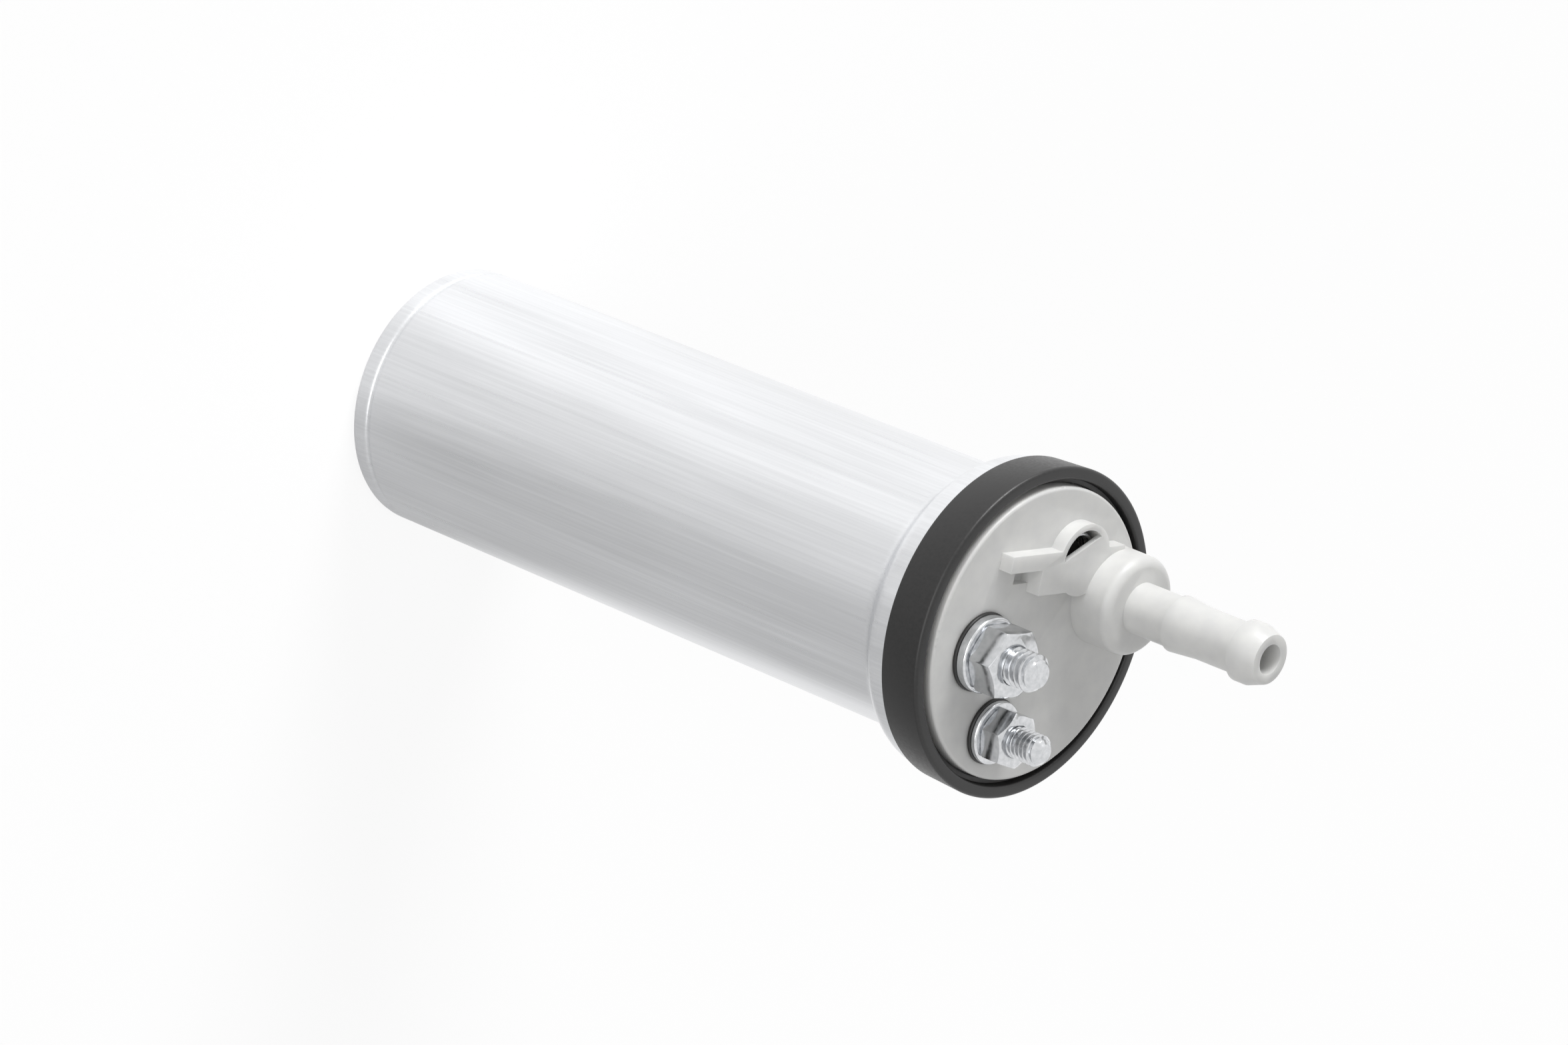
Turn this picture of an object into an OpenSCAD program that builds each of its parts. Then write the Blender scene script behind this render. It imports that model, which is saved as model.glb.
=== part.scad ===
// In-tank fuel pump, standing on its inlet rim. Z runs along the pump, from the inlet up to the outlet.
// The origin is the centre of the inlet rim.

/* [Can] */
// Outside diameter of the can
can_d = 43; // [40:0.5:50]
// Wall of the can
can_wall = 1; // [0.8:0.1:1.3]
// Height from the inlet rim to the front of the rubber ring
body_h = 129; // [122:1:150]
// Outer radius of the rolled inlet rim
rim_round = 1.5; // [1.2:0.1:2]
// Width of the flat inlet rim that turns inwards
rim_turn = 3; // [2:0.25:4]
// Height of the rolled line above the inlet rim
swage_z = 4; // [3.5:0.25:6]
// Depth of the rolled line
swage_depth = 0.3; // [0.2:0.05:0.4]
// How far the bell stands out from the can
bell_step = 3.7; // [3.2:0.1:4.5]
// Height of the sloping shoulder below the bell
shoulder_h = 3.2; // [2.6:0.1:3.6]

/* [Rubber ring] */
// Width of the ring along the pump
ring_w = 7.4; // [6:0.2:9]
// Rubber outside the bell at the ring's front
ring_wall = 1.05; // [0.9:0.05:1.6]
// How much thinner the rubber is at the ring's back
ring_taper = 0.35; // [0:0.05:0.5]
// Thickness of the front lip
lip_t = 2.35; // [1.8:0.05:3]
// Height of the thin land inside the lip
land_t = 0.7; // [0.5:0.1:1]
// Rounding of the ring's edges
ring_round = 0.5; // [0.2:0.05:0.5]

/* [End cap] */
// Diameter of the cap's face
cap_d = 46.3; // [45.5:0.1:46.6]
// How far the face stands above the ring's front
cap_rise = 0.3; // [0:0.1:1]
// Depth of the cap below the ring's front
cap_skirt = 10; // [9:0.25:12]
// Thickness of the cap's face wall
cap_t = 3.5; // [3:0.1:4]
// Wall of the cap's skirt
cap_skirt_t = 3.25; // [2.6:0.05:3.4]
// Rounding of the face's edge
cap_round = 0.5; // [0.2:0.1:0.8]

/* [Outlet hub and barb] */
// Outlet axis, distance from the pump's centre along X
hub_x = 12.3; // [11.5:0.1:12.6]
// Outlet axis, distance from the pump's centre along Y
hub_y = 9.7; // [9.2:0.1:10]
// Diameter of the hub
hub_d = 15.8; // [14.5:0.1:16.2]
// Height of the hub above the cap's face
hub_h = 7.2; // [6.5:0.1:9]
// Rounding of the hub's edge
hub_round = 1.6; // [1:0.1:2]
// Diameter of the barb's stem
stem_d = 8.1; // [7.6:0.1:8.6]
// Diameter over the first barb
rib_d = 9; // [8.8:0.1:9.4]
// Diameter over the end barb
tip_barb_d = 9.7; // [9.4:0.1:10]
// Diameter of the barb's end face
tip_d = 7.8; // [7.4:0.1:8.2]
// Bore of the barb
barb_bore_d = 4.8; // [4.4:0.1:5.2]
// Height of the first barb's back edge above the cap's face
rib_z = 15; // [12:0.5:17]
// Length of the first barb's taper
rib_len = 5; // [4:0.5:7]
// Height of the end barb's back edge above the cap's face
tip_barb_z = 28; // [26:0.5:32]
// Straight part of the end barb
tip_land = 2; // [1:0.25:2.5]
// Taper of the end barb, up to the end face
tip_taper = 2.6; // [2:0.2:3.6]

/* [Relief valve cage] */
// Valve axis along X
well_x = 1; // [0.5:0.1:1.5]
// Valve axis along Y
well_y = 13.1; // [12.8:0.1:13.4]
// Bore of the well
well_d = 9.4; // [9:0.1:9.8]
// Wall round the well
well_wall = 1; // [0.9:0.1:1.2]
// Height of the cage above the cap's face
cage_h = 2.4; // [2:0.1:3]
// Thickness of the cage's roof
roof_t = 0.9; // [0.7:0.1:1.2]
// Direction of the cage's bar, in degrees from X
cage_turn = 18.5; // [15:0.5:22]
// Turn of the window's straight edge from the bar
window_turn = 25; // [20:1:30]
// Distance of the window's straight edge from the valve axis
window_off = 1.9; // [1.5:0.1:2.2]
// Half width of the bar on the side of the studs
bar_low = 4.9; // [4.5:0.1:5.1]
// Half width of the bar on the far side
bar_high = 1.7; // [1.4:0.1:2.1]
// Length of the wide part of the bar from the valve axis
bar_len = 9.5; // [8.5:0.25:10.5]
// Length of the narrow arm from the valve axis
arm_len = 16.8; // [15:0.2:17]
// Half width of the narrow arm on the side of the studs
arm_low = 0.9; // [0.5:0.1:1.5]
// Length of the sunk notch beside the arm
notch_len = 3.4; // [2.5:0.1:4]
// Width of the sunk notch
notch_w = 2.7; // [2:0.1:3]
// Depth of the sunk notch below the cap's face
notch_depth = 1.4; // [0.8:0.1:2]
// Bore of the relief valve's seat
relief_bore_d = 3.6; // [3:0.2:4.4]
// Lift of the relief valve
relief_lift = 2; // [1:0.25:2.5]

/* [Terminal studs] */
// Thread diameter of the positive stud
pos_d = 6; // [5:1:6]
// Positive stud, place along X
pos_x = -11.3; // [-12:0.1:-10.8]
// Positive stud, place along Y
pos_y = -5.4; // [-6:0.1:-5]
// Length of the positive stud above the cap's face
pos_len = 12; // [11:0.5:16]
// Width across flats of the positive nut
pos_af = 10; // [8:1:10]
// Height of the positive nut
pos_nut_h = 5; // [4:0.2:6]
// Diameter of the positive washer
pos_washer_d = 12; // [11:0.5:12.5]
// Thickness of the positive washer
pos_washer_t = 1.6; // [1:0.2:1.6]
// Thread diameter of the negative stud
neg_d = 5; // [4:1:5]
// Negative stud, place along X
neg_x = -1.6; // [-2.4:0.1:-0.8]
// Negative stud, place along Y
neg_y = -15.9; // [-16:0.1:-15.6]
// Length of the negative stud above the cap's face
neg_len = 11; // [10:0.5:14]
// Width across flats of the negative nut
neg_af = 8; // [7:1:8]
// Height of the negative nut
neg_nut_h = 4; // [3:0.2:5]
// Diameter of the negative washer
neg_washer_d = 10; // [9:0.5:10.5]
// Thickness of the negative washer
neg_washer_t = 1; // [0.8:0.2:1.6]
// Turn of the positive nut in degrees
pos_nut_turn = 17; // [0:1:60]
// Turn of the negative nut in degrees
neg_nut_turn = 2; // [0:1:60]
// Thickness of the dark sealing washers
seal_t = 0.6; // [0.4:0.1:1]
// Height of the stud heads inside the cap
head_h = 2.6; // [2:0.2:3]
// Thickness of a stud's shank as a share of its thread
shank_share = 0.88; // [0.82:0.01:0.92]
// How far below the nut's face the full thread starts; at the face, all of it is free for a terminal
thread_start = 0; // [0:0.1:1.5]

/* [Pump stage] */
// Height of the inlet cover
cover_h = 9; // [8:0.5:12]
// Floor of the inlet cover under the impeller
cover_floor = 4; // [3.5:0.25:5]
// Bore of the inlet port
port_d = 11; // [10:0.5:12]
// Wall round the inlet port
port_wall = 2; // [1.8:0.1:2.1]
// Distance of the inlet port from the pump's centre
port_off = 10; // [9.9:0.1:10.6]
// Ribs in the inlet cover
rib_n = 7; // [5:1:9]
// Diameter of the impeller
impeller_d = 34; // [32:0.5:35]
// Thickness of the impeller
impeller_t = 4; // [3:0.25:5]
// Number of vanes
vane_n = 36; // [24:1:45]
// Length of a vane
vane_len = 2.8; // [2.2:0.1:3.4]
// Width of the groove between two vanes
vane_gap = 1.5; // [1:0.1:1.8]
// Lean of the vanes in degrees
vane_lean = 18; // [0:1:25]
// Thickness of the web between the two rows of grooves
web_t = 0.8; // [0.6:0.1:1]
// Depth of the side channels
channel_depth = 1.9; // [1.5:0.1:2.2]
// Angle that the side channels cover
channel_angle = 318; // [300:1:330]
// Thickness of the pump base above the impeller
base_t = 6; // [5:0.5:8]
// Height of the bearing boss on the pump base
base_boss_h = 5; // [4:0.5:7]

/* [Motor] */
// Diameter of the shaft
shaft_d = 5; // [4:0.5:6]
// Wall of the steel flux ring
flux_wall = 2; // [1.6:0.1:2.4]
// Thickness of the magnets
magnet_t = 3.4; // [2.6:0.1:4]
// Angle of one magnet shell
magnet_angle = 138; // [120:2:146]
// Gap between magnets and armature
air_gap = 0.6; // [0.4:0.1:0.9]
// Number of armature slots
slot_n = 10; // [8:1:12]
// Width of a slot's mouth
slot_mouth = 1.8; // [1.4:0.1:2.2]
// Diameter of a slot's root
slot_d = 4.4; // [3.6:0.2:5]
// Height of the winding heads
winding_h = 8; // [6:0.5:10]
// Diameter of the commutator
comm_d = 22; // [20:0.5:24]
// Thickness of the commutator bars
bar_t = 3; // [2:0.25:3.5]
// Thickness of the moulded hub behind the bars
comm_hub_t = 5; // [4:0.5:7]
// Gap between two commutator bars
bar_gap = 0.6; // [0.4:0.1:0.9]
// Outside diameter of the sintered bearings
bearing_d = 10; // [9:0.5:11]
// Length of the sintered bearings
bearing_h = 7; // [5:0.5:8]

/* [Brush gear] */
// Width of a brush across the radius
brush_w = 6.4; // [5:0.2:7]
// Width of a brush along the radius
brush_r_w = 5.4; // [4.4:0.2:6]
// Height of a new brush
brush_h = 9; // [7:0.5:10]
// Distance of a brush from the pump's centre
brush_off = 8; // [7.6:0.1:8.4]
// Wall round a brush pocket
pocket_wall = 1.2; // [1:0.1:1.5]
// Width of the slot for a brush's lead
lead_slot = 1.6; // [1:0.2:2]
// Length of a brush spring
brush_spring_len = 9; // [7:0.5:9]
// Thickness of the brush plate
plate_t = 4; // [3:0.25:5]

/* [Clearances] */
// Gap of a part that is pressed or slid into the can
seat_gap = 0.08; // [0.05:0.01:0.12]
// Radial gap between the shaft and its bearings
run_gap = 0.03; // [0.02:0.01:0.06]
// Gap beside a part that slides or turns freely
slide_gap = 0.1; // [0.08:0.01:0.15]
// Gap between two parts that are clamped or bonded
bond_gap = 0.05; // [0.03:0.01:0.08]
// Gap round the impeller and the valve plungers
free_gap = 0.35; // [0.3:0.05:0.45]

/* [Hidden] */
$fn = 96;

can_r = can_d / 2;
can_in = can_r - can_wall;
rim_in = can_r - rim_turn;
insert_r = can_in - seat_gap;
bell_top = body_h - lip_t - bond_gap;
cap_bottom = body_h - cap_skirt;
shoulder_drop = 0.8;
shoulder_top = cap_bottom - shoulder_drop;
shoulder_shift = 0.45;
bell_round = 0.7;
swage_r = 0.35;
lip_gap = 0.2;
lip_min = 0.8;
check_bore_r = 4.6;
cap_r = cap_d / 2;
// The roll stays outside the cap's face and the outlet's duct, and the bell leaves room for the roll
lip_in = max(cap_r, norm([hub_x, hub_y]) + check_bore_r) + lip_gap;
bell_in = max(can_r + bell_step - can_wall, lip_in + lip_min);
bell_r = bell_in + can_wall;
cap_face = body_h + cap_rise;
cap_roof = cap_face - cap_t;
cap_flange_r = bell_in - bond_gap;
cap_cavity_r = cap_flange_r - cap_skirt_t;
cap_flange_top = bell_top - can_wall - bond_gap;

hub_top = cap_face + hub_h;
barb_tip = cap_face + tip_barb_z + tip_land + tip_taper;
check_roof = hub_top - 2.2;
check_seat_t = 2;
check_seat_bore_r = 2.4;
check_disc_t = 1.3;
check_stem_r = 1.1;
valve_nose = 0.8;

cage_top = cap_face + cage_h;
well_r = well_d / 2;
well_roof = cage_top - roof_t;
relief_seat_t = 2.4;
relief_plunger_t = 2;
washer_gap = 0.2;
seal_over = 0.2;
well_bottom = cap_bottom;
relief_spring_z = well_bottom + relief_seat_t + slide_gap + relief_plunger_t;

cover_z = can_wall + bond_gap;
cover_top = cover_z + cover_h;
impeller_z = cover_top + slide_gap;
base_z = cover_top + bond_gap;
pocket_roof = impeller_z + impeller_t + slide_gap;
base_top = pocket_roof + base_t;
impeller_r = impeller_d / 2;
channel_r = impeller_r - vane_len / 2;
shaft_r = shaft_d / 2;
button_h = 1.5;
shaft_room = 0.6;
cover_rim_t = 2.2;
cover_rib_t = 1.4;
cover_centre_r = 4;
cover_duct_r = 2;
base_duct_r = 1.3;
shaft_z = cover_z + cover_h - cover_floor + button_h + slide_gap;
drive_flat = 0.6;
balance_place_r = 8;
balance_hole_r = 1.6;

comm_drop = 18;
comm_face = cap_bottom - comm_drop;
comm_r = comm_d / 2;
comm_in_r = 5;
brush_z = comm_face + slide_gap;
pocket_top = brush_z + brush_h + brush_spring_len;
plate_z = brush_z + 2;
shaft_top = plate_z + plate_t + bearing_h - 1;
flux_in = insert_r - flux_wall;
magnet_out = flux_in - bond_gap;
magnet_in = magnet_out - magnet_t;
core_r = magnet_in - air_gap;
motor_gap = 4;
core_z = base_top + base_boss_h + motor_gap + winding_h;
core_top = comm_face - bar_t - comm_hub_t - 1 - winding_h;
insulator_t = 0.5;
slot_depth = 1.6;
magnet_over = 3;
clip_t = 0.8;
flux_z = base_top + bond_gap;
flux_top = plate_z - bond_gap;

spring_sides = 6;
spring_steps = 16;

// Shapes that repeat

// Takes a square corner of radius r off a section, leaving a quarter circle round the origin's far side
module corner_off(r) {
  difference() {
    translate([0, -0.01]) square([r + 0.01, r + 0.01]);
    circle(r);
  }
}

// A coil spring from z = 0 to z = len, with closed ends
module coil(mean_r, wire_r, len, turns) {
  n = turns * spring_steps;
  dead = spring_steps;
  active = n - 2 * dead;
  pitch_dead = 2 * wire_r / spring_steps;
  rise = (len - 2 * wire_r - 2 * dead * pitch_dead) / active;
  height = function(i) wire_r + min(i, dead) * pitch_dead + max(0, min(i - dead, active)) * rise
    + max(0, i - dead - active) * pitch_dead;
  points = [for (i = [0:n], k = [0:spring_sides - 1])
    let (a = i * 360 / spring_steps, b = k * 360 / spring_sides, r = mean_r + wire_r * cos(b))
      [r * cos(a), r * sin(a), height(i) + wire_r * sin(b)]];
  sides = [for (i = [0:n - 1], k = [0:spring_sides - 1])
    let (m = (k + 1) % spring_sides)
      [i * spring_sides + k, i * spring_sides + m, (i + 1) * spring_sides + m, (i + 1) * spring_sides + k]];
  first = [for (k = [spring_sides - 1:-1:0]) k];
  last = [for (k = [0:spring_sides - 1]) n * spring_sides + k];
  polyhedron(points, concat([first], sides, [last]), convexity = 10);
}

// A hex nut with both faces chamfered, from z = 0
module hex_nut(across, height, bore_r) {
  corner_r = across / sqrt(3);
  flat_share = 0.48;
  slope = 0.58;
  chamfer = corner_r - across * flat_share;
  difference() {
    intersection() {
      cylinder(r = corner_r, h = height, $fn = 6);
      rotate_extrude() polygon([[0, 0], [corner_r - chamfer, 0], [corner_r, chamfer * slope],
        [corner_r, height - chamfer * slope], [corner_r - chamfer, height], [0, height]]);
    }
    translate([0, 0, -1]) cylinder(r = bore_r, h = height + 2);
  }
}

module washer(outer_r, bore_r, t) {
  difference() {
    cylinder(r = outer_r, h = t);
    translate([0, 0, -1]) cylinder(r = bore_r, h = t + 2);
  }
}

// A terminal stud: a hex head inside the cap, a plain shank and a thread with a chamfered end.
// The shank is as thin as the thread's root, and the full thread starts at the nut's face.
module stud(d, across, len, thread_z) {
  r = d / 2;
  shank_r = r * shank_share;
  chamfer = d * 0.12;
  head_top = cap_roof - bond_gap;
  translate([0, 0, head_top - head_h]) cylinder(r = across / sqrt(3), h = head_h, $fn = 6);
  rotate_extrude() polygon([[0, head_top - 1], [shank_r, head_top - 1], [shank_r, thread_z], [r, thread_z],
    [r, cap_face + len - chamfer], [r - chamfer, cap_face + len], [0, cap_face + len]]);
}

// A soft seal under a terminal's washer
module terminal_seal(x, y, d, outer_d) {
  translate([x, y, cap_face]) washer(outer_d / 2 + seal_over, d / 2 + bond_gap, seal_t);
}

// Can

module housing_tube() {
  color("#c9cacc") difference() {
    rotate_extrude() difference() {
      union() {
        difference() {
          polygon([[rim_in, 0], [can_r, 0], [can_r, shoulder_top - shoulder_h], [bell_r, shoulder_top],
            [bell_r, bell_top], [lip_in, bell_top], [lip_in, bell_top - can_wall],
            [bell_in, bell_top - can_wall], [bell_in, shoulder_top + shoulder_shift],
            [can_in, shoulder_top - shoulder_h + shoulder_shift], [can_in, can_wall], [rim_in, can_wall]]);
          translate([can_r - rim_round, rim_round]) mirror([0, 1]) corner_off(rim_round);
          translate([bell_r - bell_round, bell_top - bell_round]) corner_off(bell_round);
          translate([can_r + swage_r - swage_depth, swage_z]) circle(swage_r);
        }
        translate([can_in, swage_z]) circle(swage_depth);
      }
    }
  }
}

module rubber_ring() {
  bore_r = bell_r + bond_gap;
  front_r = bell_r + ring_wall;
  back_r = front_r - ring_taper;
  color("#2e2d2d") rotate_extrude() difference() {
    polygon([[bore_r, body_h - ring_w], [back_r, body_h - ring_w], [front_r, body_h - ring_round],
      [front_r, body_h], [bell_in, body_h], [bell_in, body_h - lip_t + land_t],
      [lip_in, body_h - lip_t + land_t], [lip_in, body_h - lip_t], [bore_r, body_h - lip_t]]);
    translate([front_r - ring_round, body_h - ring_round]) corner_off(ring_round);
    translate([bell_in + ring_round, body_h - ring_round]) mirror([1, 0]) corner_off(ring_round);
  }
}

// Cap

// Outline of the hub and the straight barb, revolved on the outlet's axis
module hub_and_barb() {
  stem_r = stem_d / 2;
  translate([hub_x, hub_y, 0]) rotate_extrude() difference() {
    polygon([[0, cap_face - cap_round], [hub_d / 2, cap_face - cap_round], [hub_d / 2, hub_top],
      [stem_r, hub_top],
      [stem_r, cap_face + rib_z], [rib_d / 2, cap_face + rib_z], [stem_r, cap_face + rib_z + rib_len],
      [stem_r, cap_face + tip_barb_z], [tip_barb_d / 2, cap_face + tip_barb_z],
      [tip_barb_d / 2, cap_face + tip_barb_z + tip_land], [tip_d / 2, barb_tip], [0, barb_tip]]);
    translate([hub_d / 2 - hub_round, hub_top - hub_round]) corner_off(hub_round);
  }
}

// Plan of the relief valve's cage: the round wall, the bar that runs to the hub and the narrow arm
module cage_plan() {
  circle(well_r + well_wall);
  rotate(cage_turn) {
    translate([-bar_len, -bar_low]) square([bar_len + hub_x - well_x - 2, bar_low + bar_high]);
    translate([-arm_len, -arm_low]) square([arm_len, arm_low + bar_high]);
  }
}

// Plan of the window: the part of the well beyond a straight edge
module window_plan() {
  intersection() {
    circle(well_r);
    rotate(cage_turn + window_turn) translate([-well_d, window_off]) square([2 * well_d, well_d]);
  }
}

module cap_shell() {
  rotate_extrude() difference() {
    polygon([[cap_cavity_r, cap_bottom], [cap_flange_r, cap_bottom], [cap_flange_r, cap_flange_top],
      [cap_r, cap_flange_top], [cap_r, cap_face], [0, cap_face], [0, cap_roof], [cap_cavity_r, cap_roof]]);
    translate([cap_r - cap_round, cap_face - cap_round]) corner_off(cap_round);
  }
}

module end_cap() {
  color("#dddcd6") difference() {
    union() {
      cap_shell();
      hub_and_barb();
      translate([well_x, well_y, cap_roof]) linear_extrude(cage_top - cap_roof) cage_plan();
      translate([well_x, well_y, well_bottom]) cylinder(r = well_r + well_wall, h = cage_top - well_bottom);
    }
    // Outlet duct: the check valve's chamber and the barb's bore
    translate([hub_x, hub_y, cap_roof - 1]) cylinder(r = check_bore_r, h = check_roof - cap_roof + 1);
    translate([hub_x, hub_y, cap_roof]) cylinder(d = barb_bore_d, h = barb_tip - cap_roof + 1);
    // Relief valve's well and its window
    translate([well_x, well_y, well_bottom - 1]) cylinder(r = well_r, h = well_roof - well_bottom + 1);
    translate([well_x, well_y, well_roof - 1]) linear_extrude(roof_t + 2) window_plan();
    // Notch beside the arm
    translate([well_x, well_y, cap_face - notch_depth]) rotate(cage_turn)
      translate([-bar_len - notch_len, -arm_low - notch_w]) cube([notch_len, notch_w, cage_h + notch_depth]);
    // Holes for the studs
    translate([pos_x, pos_y, cap_roof - 1]) cylinder(r = pos_d / 2 + bond_gap, h = cap_t + 2);
    translate([neg_x, neg_y, cap_roof - 1]) cylinder(r = neg_d / 2 + bond_gap, h = cap_t + 2);
  }
}

module cap_seal() {
  section_r = 1.05;
  color("#26262a") translate([0, 0, cap_bottom - section_r - bond_gap])
    rotate_extrude() translate([can_in + section_r + bond_gap, 0]) circle(section_r, $fn = 48);
}

// Terminals

module positive_stud() {
  thread_z = cap_face + seal_t + pos_washer_t + pos_nut_h - thread_start;
  color("#b9bcc0") translate([pos_x, pos_y, 0]) stud(pos_d, pos_af, pos_len, thread_z);
}

module negative_stud() {
  thread_z = cap_face + seal_t + neg_washer_t + neg_nut_h - thread_start;
  color("#b9bcc0") translate([neg_x, neg_y, 0]) stud(neg_d, neg_af, neg_len, thread_z);
}

module positive_seal() {
  color("#2b2b2b") terminal_seal(pos_x, pos_y, pos_d, pos_washer_d);
}

module negative_seal() {
  color("#2b2b2b") terminal_seal(neg_x, neg_y, neg_d, neg_washer_d);
}

module positive_washer() {
  color("#c4c6c9") translate([pos_x, pos_y, cap_face + seal_t])
    washer(pos_washer_d / 2, pos_d / 2 + washer_gap, pos_washer_t);
}

module negative_washer() {
  color("#c4c6c9") translate([neg_x, neg_y, cap_face + seal_t])
    washer(neg_washer_d / 2, neg_d / 2 + washer_gap, neg_washer_t);
}

module positive_nut() {
  color("#d2d4d6") translate([pos_x, pos_y, cap_face + seal_t + pos_washer_t])
    rotate(pos_nut_turn) hex_nut(pos_af, pos_nut_h, pos_d / 2 + bond_gap);
}

module negative_nut() {
  color("#d2d4d6") translate([neg_x, neg_y, cap_face + seal_t + neg_washer_t])
    rotate(neg_nut_turn) hex_nut(neg_af, neg_nut_h, neg_d / 2 + bond_gap);
}

// Valves

// A plunger whose disc closes a seat below it, with a nose in the seat and a stem inside the spring
module plunger(disc_r, disc_t, bore_r, stem_r, stem_h) {
  rotate_extrude() polygon([[0, -valve_nose], [bore_r * 0.5, -valve_nose], [bore_r - slide_gap, 0],
    [disc_r, 0], [disc_r, disc_t], [stem_r, disc_t], [stem_r, disc_t + stem_h], [0, disc_t + stem_h]]);
}

module relief_seat() {
  color("#b08d57") translate([well_x, well_y, well_bottom])
    washer(well_r - bond_gap, relief_bore_d / 2, relief_seat_t);
}

// The plunger's stem meets the cage's roof when the valve is fully open
module relief_plunger() {
  stem_h = well_roof - relief_spring_z - relief_lift - slide_gap;
  color("#3a3a3a") translate([well_x, well_y, relief_spring_z - relief_plunger_t])
    plunger(well_r - free_gap, relief_plunger_t, relief_bore_d / 2, well_r - 2.4, stem_h);
}

module relief_spring() {
  z = relief_spring_z;
  color("#8d9094") translate([well_x, well_y, z]) coil(well_r - 1.1, 0.35, well_roof - z, 6);
}

module check_seat() {
  color("#b08d57") translate([hub_x, hub_y, cap_roof])
    washer(check_bore_r - bond_gap, check_seat_bore_r, check_seat_t);
}

module check_plunger() {
  color("#3a3a3a") translate([hub_x, hub_y, cap_roof + check_seat_t + slide_gap])
    plunger(check_bore_r - 0.6, check_disc_t, check_seat_bore_r, check_stem_r, 3);
}

module check_spring() {
  z = cap_roof + check_seat_t + slide_gap + check_disc_t;
  color("#8d9094") translate([hub_x, hub_y, z]) coil(3.2, 0.3, check_roof - z, 5);
}

// Brush gear

// A brush pocket's section: across the radius and along it, larger than the brush by the gap
module brush_block(gap, z, h) {
  translate([-brush_r_w / 2 - gap, -brush_w / 2 - gap, z]) cube([brush_r_w + 2 * gap, brush_w + 2 * gap, h]);
}

module brush_holder() {
  bearing_r = bearing_d / 2;
  skirt_t = 1.8;
  seat_wall = 1.6;
  duct_off = 14.5;
  duct_r = 2.4;
  color("#5b5a52") difference() {
    union() {
      translate([0, 0, plate_z]) cylinder(r = insert_r, h = plate_t);
      translate([0, 0, plate_z]) difference() {
        cylinder(r = insert_r, h = cap_bottom - bond_gap - plate_z);
        translate([0, 0, -1]) cylinder(r = insert_r - skirt_t, h = cap_bottom);
      }
      translate([0, 0, plate_z]) cylinder(r = bearing_r + seat_wall, h = plate_t + bearing_h - 2);
      for (side = [-1, 1]) translate([side * brush_off, 0, 0])
        brush_block(slide_gap + pocket_wall, plate_z, pocket_top + pocket_wall - plate_z);
    }
    for (side = [-1, 1]) translate([side * brush_off, 0, 0]) {
      brush_block(slide_gap, plate_z - 1, pocket_top - plate_z + 1);
      // Slot for the brush's lead
      translate([-lead_slot / 2, -brush_w, brush_z + brush_h])
        cube([lead_slot, brush_w, brush_spring_len - 1]);
    }
    translate([0, 0, plate_z + plate_t - 1]) cylinder(r = bearing_r + bond_gap, h = bearing_h + 2);
    translate([0, 0, plate_z - 1]) cylinder(r = shaft_r + shaft_room, h = plate_t + 1);
    // Ducts that let the fuel pass the plate
    for (a = [60, 120, 240, 300]) rotate(a) 
      translate([duct_off, 0, plate_z - 1]) cylinder(r = duct_r, h = plate_t + 2);
  }
}

module brush(side) {
  translate([side * brush_off, 0, 0]) brush_block(0, brush_z, brush_h);
}

module brush_spring(side) {
  translate([side * brush_off, 0, brush_z + brush_h]) coil(2, 0.25, brush_spring_len, 7);
}

module brush_positive() {
  color("#3b3a3c") brush(-1);
}

module brush_negative() {
  color("#3b3a3c") brush(1);
}

module brush_spring_positive() {
  color("#8d9094") brush_spring(-1);
}

module brush_spring_negative() {
  color("#8d9094") brush_spring(1);
}

// Bearings, shaft and armature

module bearing() {
  washer(bearing_d / 2, shaft_r + run_gap, bearing_h);
}

module upper_bearing() {
  color("#9c7b4f") translate([0, 0, plate_z + plate_t - 1]) bearing();
}

module lower_bearing() {
  color("#9c7b4f") translate([0, 0, base_top + base_boss_h - bearing_h]) bearing();
}

// The shaft, with a flat that drives the impeller
module rotor_shaft() {
  color("#a9acaf") difference() {
    translate([0, 0, shaft_z]) cylinder(r = shaft_r, h = shaft_top - shaft_z);
    translate([shaft_r - drive_flat, -shaft_r, shaft_z - 1])
      cube([shaft_d, shaft_d, impeller_z + impeller_t - shaft_z + 1]);
  }
}

// One lamination: a disc with rounded slots open at the rim
module lamination(extra) {
  difference() {
    circle(core_r);
    circle(shaft_r + bond_gap);
    for (k = [0:slot_n - 1]) rotate(k * 360 / slot_n) {
      translate([core_r - slot_depth - slot_d / 2, 0]) circle(slot_d / 2 + extra);
      translate([core_r - slot_depth - slot_d / 2, -slot_mouth / 2]) square([slot_d + 2, slot_mouth]);
    }
  }
}

module armature_core() {
  color("#77797c") translate([0, 0, core_z]) linear_extrude(core_top - core_z) lamination(0);
}

module armature_insulators() {
  color("#a3541f") for (z = [core_z - insulator_t, core_top])
    translate([0, 0, z]) linear_extrude(insulator_t) lamination(0);
}

// Copper in the slots, joined by the winding heads at both ends
module armature_windings() {
  slot_pitch_r = core_r - slot_depth - slot_d / 2;
  color("#b4692c") {
    for (k = [0:slot_n - 1]) rotate(k * 360 / slot_n) translate([slot_pitch_r, 0, core_z - winding_h / 2])
      cylinder(r = slot_d / 2 - bond_gap, h = core_top - core_z + winding_h);
    for (z = [core_z - insulator_t - winding_h / 2 + 0.5, core_top + insulator_t + winding_h / 2 - 0.5])
      translate([0, 0, z]) rotate_extrude() translate([slot_pitch_r - 1, 0]) intersection() {
        circle(winding_h / 2 - 0.5);
        translate([-slot_d, -winding_h]) square([slot_d + 3, 2 * winding_h]);
      }
  }
}

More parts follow.
